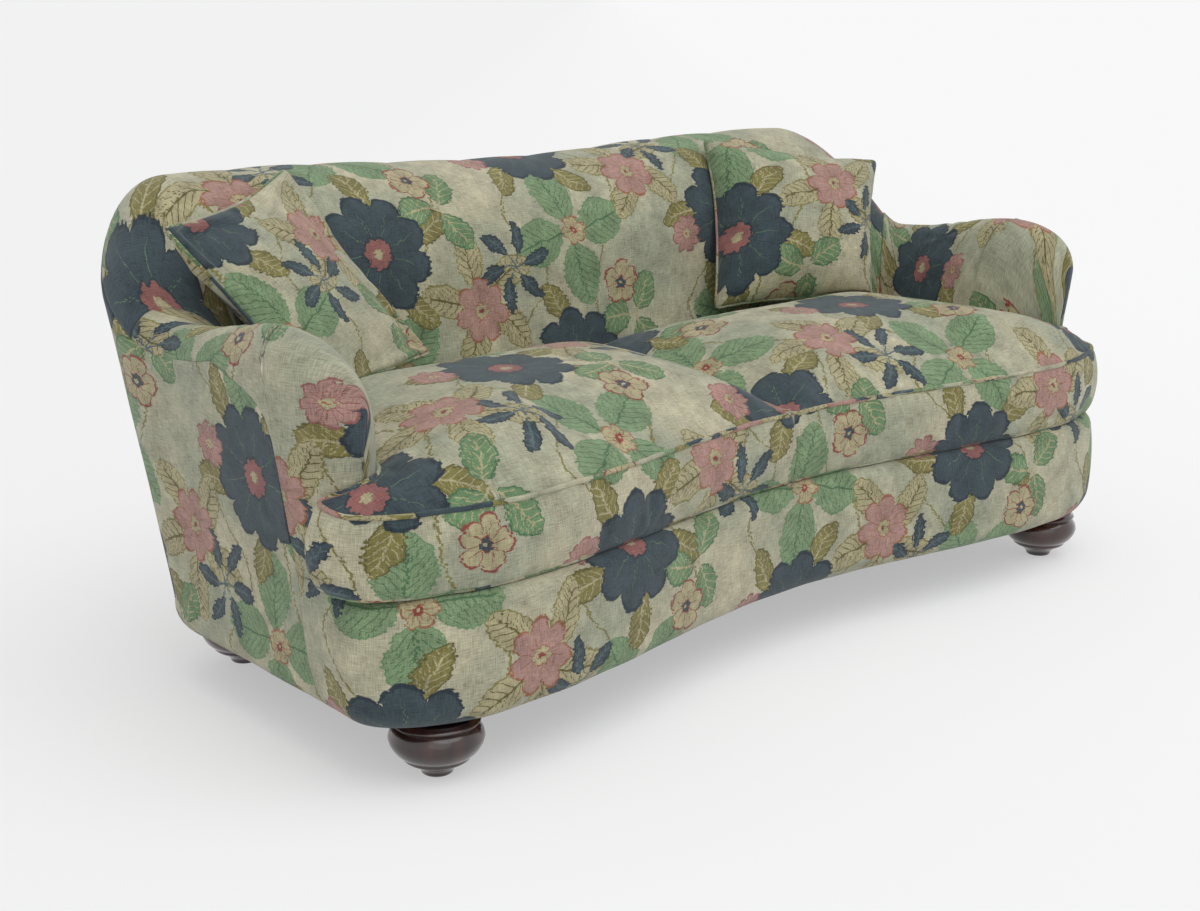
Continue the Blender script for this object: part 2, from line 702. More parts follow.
def along_outline(u):
    """The distance along the outline from the middle of the front."""
    return float(np.interp(u if u <= 5 else u - 10, outline_marks, outline_runs)) + (
        outline_runs[-1] - outline_runs[0] if u > 5 else 0.0)


def front_border():
    """The strip along the front: its hem, its face and its rounded top edge, row by row."""
    hem = hem_profile()
    face_bottom, face_top = hem[-1][1], seat_level - top_edge_radius
    profile = list(hem)
    profile += [(0.0, z) for z in np.linspace(face_bottom, face_top, border_face_rows)[1:]]
    for angle in np.linspace(0, math.pi / 2, border_edge_rows)[1:]:
        profile.append((
            -top_edge_radius + top_edge_radius * math.cos(angle), face_top + top_edge_radius * math.sin(angle)))
    profile.append((-top_lip, seat_level))
    heights = lengths(np.array(profile))

    first_edge_row = len(hem) + border_face_rows - 1

    def profile_at(u, row):
        offset, level = profile[row]
        height = heights[row]
        under_arm = smooth((abs(u) - side_u(under_arm_start)) / under_arm_length)
        if first_edge_row <= row < len(profile) - 1:
            angle = (row - first_edge_row + 1) / (border_edge_rows - 1) * math.pi / 2
            radius = mix(top_edge_radius, edge_radius_under_arm, under_arm)
            offset = radius * (math.cos(angle) - 1)
            level = seat_level + radius * (math.sin(angle) - 1)
            height = border_height_of_seat - radius + radius * angle
        swell = math.sin(math.pi * min(max((level - swell_foot) / swell_height, 0), 1)) ** swell_roundness
        corner = smooth((abs(u) - corner_start) / corner_length) * smooth((seam_u(level) - abs(u)) / corner_fade)
        return offset + swell * (border_swell + corner_swell * corner), level, height

    columns = {
        "count": border_columns,
        "place": lambda share, row: mix(-1, 1, share) * seam_u(profile[row][1]),
        "along": along_outline,
    }
    grid, uvs = swept(columns, profile_at, len(profile))
    grid = uneven(grid, uvs, *border_unevenness)
    return cover("front_border_cover", grid, uvs, False, ["front_border"], over="front_rail")


def outside_panel(start, end, count, rows):
    """A panel from the hem up to the seam under the roll, between two places that are given for each level."""
    hem = hem_profile()
    bottom = hem[-1][1]
    heights = lengths(np.array(hem))

    def level_at(u, row):
        return hem[row][1] if row < len(hem) else mix(bottom, panel_top(u), (row - len(hem) + 1) / rows)

    def place(share, row):
        u = mix(start(bottom), end(bottom), share)
        for _ in range(panel_rounds):
            level = level_at(u, row)
            u = mix(start(level), end(level), share)
        return u

    def profile_at(u, row):
        level = level_at(u, row)
        if row < len(hem):
            return hem[row][0], level, heights[row]
        top = body_station(10 - u if u > 5 else u)
        inward = 0.0
        if level > top["outer_level"]:
            rise = min((level - top["outer_level"]) / outer_roll_height, 1)
            inward = np.hypot(*(top["crest"] - top["outer_edge"])) * (1 - math.sqrt(1 - rise * rise))
            level_lean = lean(top["outer_level"], u)
        else:
            level_lean = lean(level, u)
        return level_lean - inward, level, heights[-1] + level - bottom

    columns = {"count": count, "place": place, "along": along_outline}
    grid, uvs = swept(columns, profile_at, len(hem) + rows)
    return uneven(grid, uvs, *panel_unevenness), uvs


# ---- Covers of the arms and the back ----

nose_stations, arm_rows, back_rows, outer_run_share = 40, 96, 92, 0.75
seam_station_depths = [0.2632, 0.2655, 0.268, 0.2705, 0.2735, 0.278, 0.284, 0.291]
arm_pinch, pinch_start, pinch_length, pinch_folds, pinch_level = (0.872, 0.430, 0.640), 0.02, 0.075, 9, 0.60
arm_tuft = (0.832, 0.364, 0.530)
fold_depth, dimple_depth, dimple_radius, arm_tuft_radius = 0.0030, 0.003, 0.022, 0.030
pleat_pitch, pleat_shift, pleat_depth, pleat_end, pleat_fade = 0.176, 0.026, 0.0042, 1.20, 0.2
pleat_reach_inside, pleat_reach_outside = 0.16, 0.05
tuft_level, tuft_depth, tuft_half_width, tuft_half_height = 0.53, 0.0045, 0.020, 0.022


def sections(stations, starts, rows):
    """A cover's grid of points, station by station, with each one's distance from the crest."""
    grid, marks = [], []
    for s, start in zip(stations, starts):
        points, crest = section_curve(s, start)
        spots, from_crest = resample(points, rows, crest)
        grid.append(spots)
        marks.append(from_crest)
    return np.array(grid), np.array(marks)


def arm_cover():
    """The cover over an arm, from round its nose to where the back's cover begins."""
    stations, starts = [], []
    for angle in np.linspace(0, math.pi / 2, nose_stations):
        stations.append(nose_station(angle))
        starts.append(None)
    steps = [
        outer_run_share * np.hypot(*(after["outer_foot"] - before["outer_foot"]))
        + (1 - outer_run_share) * np.hypot(*(after["inner_foot"] - before["inner_foot"]))
        for before, after in zip(stations, stations[1:])]
    runs = list(along_outline(arm_seam_u) - sum(steps) + np.concatenate([[0], np.cumsum(steps)]))
    depths = seam_station_depths + list(np.linspace(0.299, rear_corner_y, 44))
    for u in [side_u(d) for d in depths] + list(np.linspace(3, arm_join, 9)[1:]):
        depth = outline_point(u)[1]
        stations.append(body_station(u))
        level = float(np.interp(depth, seam_depths, seam_levels))
        starts.append(min(level, panel_top(u)) if depth < seam_depths[-1] else panel_top(u))
        runs.append(along_outline(u))
    grid, marks = sections(stations, starts, arm_rows)
    heights = marks - marks[:, :1] + border_height_of_seat + grid[:, :1, 2] - seat_level
    uvs = np.dstack([np.repeat(np.array(runs)[:, None], arm_rows, axis=1), heights])
    outward = grid_normals(grid)
    # Folds run out from where the cover is pinched in on top, and a tuft draws it in on the inside
    away = grid - arm_pinch
    radius = np.linalg.norm(away, axis=2)
    turn = np.arctan2(away[..., 0], away[..., 1])
    folds = np.exp(-((radius - pinch_start) / pinch_length) ** 2) * (0.5 + 0.5 * np.cos(turn * pinch_folds))
    folds *= grid[..., 2] > pinch_level
    dimple = np.exp(-(radius / dimple_radius) ** 2)
    tuft = np.exp(-(np.linalg.norm(grid - arm_tuft, axis=2) / arm_tuft_radius) ** 2)
    push = -fold_depth * folds - dimple_depth * dimple - dimple_depth * tuft
    push += arm_unevenness[0] * ripple(uvs[..., 0], uvs[..., 1], *arm_unevenness[1:])
    wadding("arm_wadding_right", grid, True, ["arm_padding_right"])
    wadding("arm_wadding_left", grid * (-1, 1, 1), False, ["arm_padding_left"])
    grid += outward * push[..., None]
    covers_of_both_sides("arm_cover", grid, uvs, True, "inside_arm_cover", "arm_wadding")


def back_cover():
    """The cover over the back, from arm to arm."""
    right = list(np.linspace(arm_join, 4, 60)) + list(np.linspace(4, 5, 96))[1:]
    stations = [body_station(u) for u in right]
    mirrored_stations = [
        {k: v * (-1, 1) if isinstance(v, np.ndarray) else v for k, v in s.items()} for s in stations[-2::-1]]
    starts = [panel_top(u) for u in right + [10 - u for u in right[-2::-1]]]
    grid, heights = sections(stations + mirrored_stations, starts, back_rows)
    middle_row = grid[:, back_rows // 2]
    run = lengths(middle_row)
    run -= run[len(run) // 2]
    runs = np.repeat(run[:, None], back_rows, axis=1)
    uvs = np.dstack([-runs, heights])
    outward = grid_normals(grid)
    # Shallow pleats run from low tufts up to a scalloped top edge
    between = np.abs(np.sin(math.pi * (runs - pleat_shift) / pleat_pitch + math.pi / 2)) ** 0.7
    below_top = np.clip(heights, 0, None)
    depth = pleat_depth * np.where(
        heights > 0, np.exp(-below_top / pleat_reach_inside), np.exp(heights / pleat_reach_outside))
    reach = np.clip((pleat_end - np.abs(runs)) / pleat_fade, 0, 1)
    push = -(1 - between) * depth * reach
    above_tufts = grid[..., 2] - tuft_level
    nearest = np.abs((runs - pleat_shift + pleat_pitch / 2) % pleat_pitch - pleat_pitch / 2)
    tufts = np.exp(-(nearest / tuft_half_width) ** 2 - (above_tufts / tuft_half_height) ** 2) * (heights > 0)
    push = push - tuft_depth * tufts * reach
    push += back_unevenness[0] * ripple(uvs[..., 0], uvs[..., 1], *back_unevenness[1:])
    wadding("back_wadding", grid, True, ["back_padding"])
    grid += outward * push[..., None]
    return cover("back_cover", grid, uvs, True, ["inside_back_cover"], over="back_wadding")


# ---- Seat cushions ----

cushion_setback, cushion_clearance, ear_overhang, ear_start = 0.014, 0.007, 0.018, 1.3
ear_depth, ear_gap, ear_roundness, arm_rim_rise = 0.170, 0.010, 0.026, 0.040
cushion_spacing, bottom_spacing, middle_gap, border_bulge, border_rows = 0.012, 0.035, 0.003, 0.012, 12
# Angles round the nose where an ear ends and that it aims from, and how freely the sides bulge
nose_reach, nose_aim, ear_tip_rise_share, held_share, middle_free = 0.38, 0.30, 0.7, 0.1, 0.06
crown_left, crown_right, crown_front, crown_rear, ear_crown_front = 0.280, 0.560, 0.260, 0.440, 0.110
rim_rise, rim_rise_start, rim_rise_length = 0.037, 0.090, 0.300
filling_room, bulge_roundness, seam_hold = 0.008, 0.8, 0.9
border_print_drop, top_print_drop, crown_print_share = 0.03, 0.05, 0.25
seat_filling = {"pressure": 4.0, "room": 0.014, "growth": 0.012}
rim_level = seat_level + cushion_border
row_share, rim_room = 0.866, 0.62  # of a panel's spacing: between its rows, and kept free along its edge
crown_rings = [0, 0.04, 0.09, 0.16, 0.25, 0.35, 0.46, 0.58, 0.70, 0.82, 0.92, 1.0]


def rim_rise_at(depth):
    """How far the upper seam rises towards the back."""
    return rim_rise * smooth((depth - rim_rise_start) / rim_rise_length)


def cushion_places():
    """The right cushion's outline, place by place: its plan at a level, how freely it bulges there, and how
    far its upper seam is raised (None for the usual rise towards the back)."""
    places = []
    start = middle_gap / 2 / swell_half

    def front(u):
        point, normal = station(u)
        return point + normal * mix(-cushion_setback, ear_overhang, smooth((u - ear_start) / (2 - ear_start)))

    def round_nose(angle, level, outer):
        s = nose_station(angle, -ear_gap if outer else -cushion_clearance)
        foot, edge, top = ("outer_foot", "outer_edge", "outer_level") if outer else (
            "inner_foot", "inner_edge", "inner_level")
        return mix(s[foot], s[edge], (level - seat_level) / (s[top] - seat_level))

    def ear_tip(t, level):
        first, last = front(side_u(ear_depth)), round_nose(nose_reach, level, True)
        along = front(side_u(ear_depth)) - front(side_u(ear_depth - 0.01))
        back = last - round_nose(nose_aim, level, True)
        ahead = first + along / np.hypot(*along) * ear_roundness
        behind = last + back / np.hypot(*back) * ear_roundness
        return (1 - t) ** 3 * first + 3 * (1 - t) ** 2 * t * ahead + 3 * (1 - t) * t * t * behind + t ** 3 * last

    def inside(u, level):
        s = body_station(u, -cushion_clearance)
        point = mix(s["inner_foot"], s["inner_edge"], (level - seat_level) / (s["inner_level"] - seat_level))
        return np.array([max(point[0], middle_gap / 2), point[1]])

    for u in np.linspace(start, side_u(ear_depth), 500):
        places.append((lambda level, u=u: front(u), 1 + smooth((u - 1.85) / 0.2), None))
    for t in np.linspace(0, 1, 30)[1:]:
        rise = mix(rim_rise_at(ear_depth), arm_rim_rise * ear_tip_rise_share, smooth(t))
        places.append((lambda level, t=t: ear_tip(t, level), mix(2.0, held_share, smooth(t * 1.3)), rise))
    for angle in np.linspace(nose_reach, 0.02, 20)[1:]:
        places.append((lambda level, a=angle: round_nose(a, level, True), held_share,
                       arm_rim_rise * mix(1.0, ear_tip_rise_share, angle / nose_reach)))
    for angle in np.linspace(0.06, math.pi / 2, 60):
        places.append((lambda level, a=angle: round_nose(a, level, False), held_share, arm_rim_rise))
    for u in np.linspace(arm_seam_u, 5, 400)[1:]:
        places.append((lambda level, u=u: inside(u, level), held_share, arm_rim_rise))
    for t in np.linspace(0, 1, 100)[1:-1]:
        places.append((lambda level, t=t: mix(inside(5, level), front(start), t), middle_free, None))
    return places


def even_places(places, level, spacing):
    """Of the closely set places, those that stand evenly apart at a level."""
    plan = np.array([place(level) for place, *_ in places])
    run = lengths(closed(plan))
    count = round(run[-1] / spacing)
    return [places[int(np.searchsorted(run[:-1], run[-1] * k / count))] for k in range(count)]


def swollen(plan, free, distance):
    """A closed outline pushed outwards where it is free."""
    along = np.roll(plan, -1, axis=0) - np.roll(plan, 1, axis=0)
    along /= np.maximum(np.hypot(along[:, 0], along[:, 1]), 1e-9)[:, None]
    return plan + np.column_stack([along[:, 1], -along[:, 0]]) * distance * free[:, None]


def within(points, loop):
    """Which points lie inside a closed loop in plan."""
    inside = np.zeros(len(points), bool)
    x, y = points[:, 0], points[:, 1]
    for a, b in zip(loop, np.roll(loop, -1, axis=0)):
        crosses = (a[1] > y) != (b[1] > y)
        with np.errstate(divide="ignore", invalid="ignore"):
            inside ^= crosses & (x < (b[0] - a[0]) * (y - a[1]) / (b[1] - a[1]) + a[0])
    return inside


def panel_mesh(loop, spacing):
    """A cut panel of cloth as triangles: its points in plan, the loop's own first."""
    low, high = loop.min(axis=0), loop.max(axis=0)
    spots = []
    for i, y in enumerate(np.arange(low[1], high[1], spacing * row_share)):
        for x in np.arange(low[0] + (i % 2) * spacing / 2, high[0], spacing):
            spots.append((x, y))
    spots = np.array(spots)
    spots = spots[within(spots, loop)]
    flat = np.vstack([loop, spots[gaps_to(loop, spots) > spacing * rim_room]])
    edge = [(i, (i + 1) % len(loop)) for i in range(len(loop))]
    _, _, triangles, origins, _, _ = geometry.delaunay_2d_cdt([Vector(p) for p in flat], edge, [], 1, 1e-6)
    own = {i: origin[0] for i, origin in enumerate(origins) if origin}
    return flat, [tuple(own[i] for i in face) for face in triangles]


def crown_surface(loop, rises):
    """The filled top as a rough surface that a panel's points are laid on."""
    points = []
    for share in crown_rings:
        rise = 1 - (1 - share) ** 2
        for (x, y), rim in zip(loop, rises):
            nearest = mix(crown_front, ear_crown_front, smooth((x - crown_right) / (arm_tip_x - crown_right)))
            points.append((
                mix(x, min(max(x, crown_left), crown_right), share),
                mix(y, min(max(y, nearest), crown_rear), share),
                mix(rim_level, rim_level + cushion_crown - filling_room, rise) + rim * (1 - rise)))
    count, middle = len(loop), len(points)
    points.append(((crown_left + crown_right) / 2, (crown_front + crown_rear) / 2,
                   rim_level + cushion_crown - filling_room))
    innermost = middle - count
    faces = ring_faces(len(crown_rings), count)
    faces += [(innermost + i, innermost + (i + 1) % count, middle) for i in range(count)]
    return BVHTree.FromPolygons(points, faces)


def settle(points, faces, held, rounds):
    """Evens out a panel's heights, except at its held points."""
    pairs = {tuple(sorted((face[i], face[i - 1]))) for face in faces for i in range(3)}
    one, other = np.array(sorted(pairs)).T
    degree = np.bincount(np.concatenate([one, other]), minlength=len(points))
    for _ in range(rounds):
        total = np.bincount(one, points[other, 2], len(points)) + np.bincount(other, points[one, 2], len(points))
        mean = total / np.maximum(degree, 1)
        points[~held, 2] = mix(points[~held, 2], mean[~held], 0.6)
    return points


def fill_cover(obj, held, pressure, room, growth, frames=20):
    """Blows a sewn cover up from within as cloth. It is held at its seams, and no point moves further than
    room."""
    scene = bpy.context.scene
    before = coordinates(obj)
    group = obj.vertex_groups.new(name="held")
    for index, weight in enumerate(held):
        if weight > 0:
            group.add([index], float(weight), "REPLACE")
    cloth = obj.modifiers.new("filling", "CLOTH")
    for key, value in {
            "quality": 5, "mass": 0.3, "tension_stiffness": 30, "compression_stiffness": 30,
            "bending_stiffness": 0.6, "use_pressure": True, "uniform_pressure_force": pressure,
            "shrink_min": -growth, "vertex_group_mass": "held"}.items():
        setattr(cloth.settings, key, value)
    cloth.settings.effector_weights.gravity = 0
    cloth.collision_settings.use_collision = False
    cloth.point_cache.frame_start, cloth.point_cache.frame_end = 1, frames
    for number in range(1, frames + 1):
        scene.frame_set(number)
    apply_modifiers(obj)
    scene.frame_set(1)
    obj.vertex_groups.remove(obj.vertex_groups["held"])
    moved = coordinates(obj) - before
    far = np.linalg.norm(moved, axis=1, keepdims=True)
    moved *= np.minimum(1, room / np.maximum(far, 1e-9))
    move_points(obj, before + moved)


def refine(obj):
    subdivision = obj.modifiers.new("fine", "SUBSURF")
    subdivision.levels = subdivision.render_levels = 1
    apply_modifiers(obj)


def square(row, column):
    """The four corners of a face in a grid, in turn."""
    return [(row, column), (row, column + 1), (row + 1, column + 1), (row + 1, column)]


def piping(name, path, radius, body, print_place=(0.0, 0.0), sides=8):
    """A closed cord of covered piping along a seam."""
    path = np.asarray(path)
    for _ in range(2):
        path = path / 2 + (np.roll(path, 1, axis=0) + np.roll(path, -1, axis=0)) / 4
    along = np.roll(path, -1, axis=0) - np.roll(path, 1, axis=0)
    along /= np.linalg.norm(along, axis=1, keepdims=True)
    up = np.array([0.0, 0.0, 1.0]) if abs(along[:, 2]).max() < 0.9 else np.array([0.0, 1.0, 0.0])
    side = np.cross(along, up)
    side /= np.linalg.norm(side, axis=1, keepdims=True)
    over = np.cross(side, along)
    run = lengths(closed(path))
    angles = [2 * math.pi * k / sides for k in range(sides)]
    points = np.stack(
        [path + (side * math.cos(angle) + over * math.sin(angle)) * radius for angle in angles], axis=1).reshape(-1, 3)
    faces = [tuple(i % len(points) for i in face) for face in ring_faces(len(path) + 1, sides)]
    uvs = [(run[far] + print_place[0], print_place[1] + round_at * 2 * math.pi * radius / sides)
           for i in range(len(path)) for k in range(sides) for far, round_at in square(i, k)]
    return dress(mesh_object(name, points, faces, corner_uvs=uvs), body)


def seat_cushion():
    """The right T-shaped cushion: bottom, boxing and crowned top, filled, with the seams' places."""
    places = even_places(cushion_places(), rim_level, cushion_spacing)
    free = np.array([loose for _, loose, _ in places])
    rises = np.array([
        rim_rise_at(place(rim_level)[1]) if rise is None else rise for place, _, rise in places])
    count = len(places)
    levels = np.linspace(cover_foot, rim_level, border_rows)
    strip = []
    for level in levels:
        share = (level - levels[0]) / (levels[-1] - levels[0])
        plan = np.array([place(level) for place, *_ in places])
        bulge = border_bulge * math.sin(math.pi * share) ** bulge_roundness if 0 < share < 1 else 0.0
        strip.append(np.column_stack([swollen(plan, free, bulge), level + rises * share]))
    strip = np.array(strip)
    run = lengths(closed(strip[-1]))
    points = list(strip.reshape(-1, 3))
    faces = ring_faces(border_rows, count)
    uvs = [(run[far], levels[level] - border_print_drop)
           for i in range(border_rows - 1) for j in range(count) for level, far in square(i, j)]
    top_plan, top_faces = panel_mesh(strip[-1][:, :2], cushion_spacing)
    surface = crown_surface(strip[-1][:, :2], rises)
    top = []
    for index, (x, y) in enumerate(top_plan):
        if index < count:
            top.append(strip[-1][index])
            continue
        hit = surface.ray_cast(Vector((x, y, 2.0)), Vector((0, 0, -1)))[0]
        top.append((x, y, hit.z if hit else rim_level))
    top = settle(np.array(top), top_faces, np.arange(len(top)) < count, 6)
    bottom_plan, bottom_faces = panel_mesh(strip[0][:, :2], bottom_spacing)
    top_start = len(points)
    points += list(top[count:])
    bottom_start = len(points)
    points += [(x, y, levels[0]) for x, y in bottom_plan[count:]]

    def index_of(i, first, ring):
        return ring * count + i if i < count else first + i - count

    for face in top_faces:
        faces.append(tuple(index_of(i, top_start, border_rows - 1) for i in face))
        uvs += [(top_plan[i][0], top_plan[i][1] + rim_level - top_print_drop + crown_print_share * (
            top[i][2] - rim_level)) for i in face]
    for face in bottom_faces:
        faces.append(tuple(index_of(i, bottom_start, 0) for i in reversed(face)))
        uvs += [(bottom_plan[i][0], -bottom_plan[i][1]) for i in reversed(face)]
    held = np.zeros(len(points))
    held[:top_start] = np.tile(1 - np.minimum(free, 1) * seam_hold, border_rows)
    held[:count] = held[(border_rows - 1) * count:border_rows * count] = 1.0
    held[bottom_start:] = 1.0
    return to_sofa(points), faces, np.array(uvs), held, count


def seat_cushions():
    """Both seat cushions, filled and piped: the left one mirrors the right one."""
    points, faces, uvs, held, count = seat_cushion()
    right = mesh_object("seat_cushion_cover_right", points, faces, corner_uvs=uvs)
    fill_cover(right, held, **seat_filling)
    flipped = [tuple(reversed(face)) for face in faces]
    sizes = [len(face) for face in faces]
    starts = np.concatenate([[0], np.cumsum(sizes)])
    left_uvs = np.vstack([uvs[a:b][::-1] for a, b in zip(starts, starts[1:])]) * (-1, 1)
    left = mesh_object("seat_cushion_cover_left", coordinates(right) * (-1, 1, 1), flipped, corner_uvs=left_uvs)
    for obj, side in ((right, "right"), (left, "left")):
        refine(obj)
        body = f"seat_cushion_{side}_body"
        dress(obj, body, [f"seat_cushion_{side}"])
        seams = coordinates(obj)
        low, high = seams[:count].copy(), seams[(border_rows - 1) * count:border_rows * count].copy()
        low[:, 2] = cover_foot + piping_radius * 0.9
        piping(f"seat_cushion_piping_low_{side}", low, piping_radius, body, (0.0, 0.21))
        piping(f"seat_cushion_piping_high_{side}", high, piping_radius, body, (0.1, 0.07))
    return right, left


# ---- Scatter cushions ----

scatter_depth, scatter_rear_share, scatter_draw, scatter_puff = 0.150, 0.38, 0.07, 0.46
scatter_filling = {"pressure": 3.0, "room": 0.022, "growth": 0.020}
scatter_cells = 38
press_gap, press_reach = 0.0015, 0.16
scatter_piping_radius, rear_print_shift = 0.0032, 0.2
scatter_corners = {
    "right": ((0.458, 0.766, 0.855), (0.820, 0.576, 0.798), (0.330, 0.603, 0.518), (0.690, 0.471, 0.508)),
    "left": ((-0.604, 0.766, 0.863), (-0.954, 0.586, 0.805), (-0.410, 0.606, 0.526), (-0.760, 0.426, 0.480)),
}
scatter_print = {"right": (0.17, 0.05), "left": (-0.33, 0.29)}


def scatter_cushion(side, resting_on):
    """A square cushion between four corners: a fuller front and a rear, sewn and piped round their rim."""
    inner_top, outer_top, inner_bottom, outer_bottom = (np.array(c) for c in scatter_corners[side])
    across = np.cross(outer_top - inner_bottom, inner_top - outer_bottom)
    normal = across / np.linalg.norm(across)
    size = scatter_cells + 1
    shares = np.linspace(-1, 1, size)
    width = np.linalg.norm(outer_top - inner_top + outer_bottom - inner_bottom) / 2
    height = np.linalg.norm(inner_top - inner_bottom + outer_top - outer_bottom) / 2

    def at(a, b):
        s = (1 + a * (1 - scatter_draw * (1 - b * b))) / 2
        t = (1 + b * (1 - scatter_draw * (1 - a * a))) / 2
        return mix(mix(inner_bottom, outer_bottom, s), mix(inner_top, outer_top, s), t)

    points, index, rim = [], {}, set()
    for part, share in ((0, 1 - scatter_rear_share), (1, -scatter_rear_share)):
        for i, b in enumerate(shares):
            for j, a in enumerate(shares):
                edge = i in (0, size - 1) or j in (0, size - 1)
                if edge and part:
                    index[part, i, j] = index[0, i, j]
                    continue
                index[part, i, j] = len(points)
                puff = scatter_depth * share * ((1 - a * a) * (1 - b * b)) ** scatter_puff
                points.append(at(a, b) + normal * puff)
                if edge:
                    rim.add(len(points) - 1)
    faces, uvs = [], []
    for part in (0, 1):
        for i in range(size - 1):
            for j in range(size - 1):
                corners = square(i, j)[::-1] if part else square(i, j)
                faces.append(tuple(index[part, r, c] for r, c in corners))
                uvs += [(shares[c] * width / 2 + scatter_print[side][0] + part * rear_print_shift,
                         shares[r] * height / 2 + scatter_print[side][1]) for r, c in corners]
    loop = [index[0, 0, j] for j in range(size)] + [index[0, i, size - 1] for i in range(1, size)]
    loop += [index[0, size - 1, j] for j in range(size - 2, -1, -1)]
    loop += [index[0, i, 0] for i in range(size - 2, 0, -1)]
    if side == "left":
        faces = [tuple(reversed(face)) for face in faces]
        uvs = [uv for k in range(0, len(uvs), 4) for uv in reversed(uvs[k:k + 4])]
    obj = mesh_object(f"scatter_cushion_cover_{side}", to_sofa(points), faces, corner_uvs=uvs)
    held = np.zeros(len(points))
    held[list(rim)] = seam_hold
    fill_cover(obj, held, **scatter_filling)
    press(obj, resting_on)
    refine(obj)
    press(obj, resting_on)
    body = f"scatter_cushion_{side}_body"
    dress(obj, body, [f"scatter_cushion_{side}"])
    path = coordinates(obj)[loop]
    piping(f"scatter_cushion_piping_{side}", path, scatter_piping_radius, body, (0.3, 0.4), 6)


def press(obj, resting_on):
    """Moves a cushion's points out of what it leans and stands on."""
    trees = []
    for other in resting_on:
        shown = list(other.data.polygons)[:outer_faces.get(other.name)]
        trees.append(BVHTree.FromPolygons(
            [Vector(p) for p in coordinates(other)], [tuple(face.vertices) for face in shown]))
    spots = coordinates(obj)
    for index, point in enumerate(spots):
        for tree in trees:
            place, normal, _, distance = tree.find_nearest(Vector(point), press_reach)
            if place is None:
                continue
            if (Vector(point) - place).dot(normal) < press_gap:
                point = np.array(place + normal * press_gap)
                spots[index] = point
    move_points(obj, spots)


# ---- Cloths of the seat frame ----

deck_level, deck_thickness, dust_cloth_level, dust_cloth_thickness = 0.3052, 0.010, 0.0966, 0.0012
deck_front_inset, deck_side_inset, dust_cloth_inset = 0.0385, 0.048, 0.054
deck_sag, deck_spacing, dust_cloth_sag, dust_cloth_spacing = 0.0025, 0.025, 0.002, 0.035
frame_cloth_stations, sag_reach, frame_cloth_unevenness = 181, 0.08, (0.0006, 31, 0.2)


def frame_cloth(name, inset_at, level, thickness, sag, spacing, node, material):
    """A cloth tacked round the inside of the seat frame, which sags a little between its edges. Returns it with
    its flat width, length and area."""
    loop = []
    for u in np.linspace(0, 10, frame_cloth_stations)[:-1]:
        point, normal = station(u)
        loop.append(point - normal * inset_at(min(u, 10 - u)))
    loop = np.array(loop)
    plan, faces = panel_mesh(loop, spacing)
    inward = gaps_to(loop, plan)
    height, *waves = frame_cloth_unevenness
    fall = sag * (1 - np.exp(-inward / sag_reach)) + height * ripple(plan[:, 0], plan[:, 1], *waves) * (inward > 0.01)
    obj = mesh_object(name, to_sofa(np.column_stack([plan, level - fall])), faces, point_uvs=plan)
    area = sum(face.area for face in obj.data.polygons)
    thicken(obj, thickness)
    return dress(obj, "sofa", [node], material), np.ptp(loop, axis=0), area


def frame_cloths():
    deck, _, _ = frame_cloth(
        "seat_deck_cloth", lambda w: mix(deck_front_inset, deck_side_inset, smooth((w - 1.9) / 0.3)),
        deck_level, deck_thickness, deck_sag, deck_spacing, "seat_platform", platform_cloth)
    dust, flat, area = frame_cloth(
        "dust_cloth", lambda w: dust_cloth_inset, dust_cloth_level, dust_cloth_thickness, dust_cloth_sag,
        dust_cloth_spacing, "dust_cover", black_cloth)


# ---- Feet ----

foot_radius = 0.075
foot_top = 0.0949
foot_sides, sharp_angle = 48, math.radians(50)
# Radius and level of each ring, as shares of the foot's own
foot_turning = [
    (0.30, 0.0), (0.33, 0.02), (0.34, 0.05), (0.36, 0.09), (0.42, 0.13), (0.52, 0.20), (0.64, 0.235), (0.70, 0.27),
    (0.705, 0.30), (0.72, 0.325), (0.78, 0.345), (0.89, 0.43), (0.97, 0.54), (1.0, 0.64), (0.97, 0.74),
    (0.90, 0.82), (0.855, 0.85), (0.86, 0.865), (0.91, 0.89), (0.925, 0.915), (0.91, 0.94), (0.87, 0.96),
    (0.83, 1.0)]
foot_places = {
    "front_right": (0.813, 0.100), "front_left": (-0.813, 0.100),
    "rear_right": (0.765, 0.715), "rear_left": (-0.765, 0.715)}


def turned_foot():
    """One bun foot, drawn up ring by ring from its base as a turner's profile."""
    bpy.ops.object.select_all(action="DESELECT")
    bpy.ops.mesh.primitive_circle_add(
        vertices=foot_sides, radius=foot_radius * foot_turning[0][0], fill_type="NGON", location=(0, 0, 0))
    foot = bpy.context.object
    foot.name = foot.data.name = "bun_foot_turned"
    bpy.ops.object.mode_set(mode="EDIT")
    bpy.ops.mesh.select_all(action="SELECT")
    for (radius, level), (wider, higher) in zip(foot_turning, foot_turning[1:]):
        bpy.ops.mesh.extrude_region_move(
            TRANSFORM_OT_translate={"value": (0, 0, (higher - level) * foot_top)})
        bpy.ops.transform.resize(value=(wider / radius, wider / radius, 1))
    bpy.ops.mesh.select_all(action="SELECT")
    bpy.ops.mesh.normals_make_consistent(inside=False)
    bpy.ops.object.mode_set(mode="OBJECT")
    bpy.ops.object.shade_smooth_by_angle(angle=sharp_angle)
    return foot


def bun_feet():
    pattern = turned_foot()
    for place, (x, depth) in foot_places.items():
        foot = add_object(f"bun_foot_turned_{place}", pattern.data.copy())
        foot.data.name = foot.name
        for vertex in foot.data.vertices:
            vertex.co += Vector((x, depth + front_line, 0))
        dress(foot, "sofa", [f"bun_foot_{place}"], mahogany)
    bpy.data.objects.remove(pattern)


# ---- The sofa ----

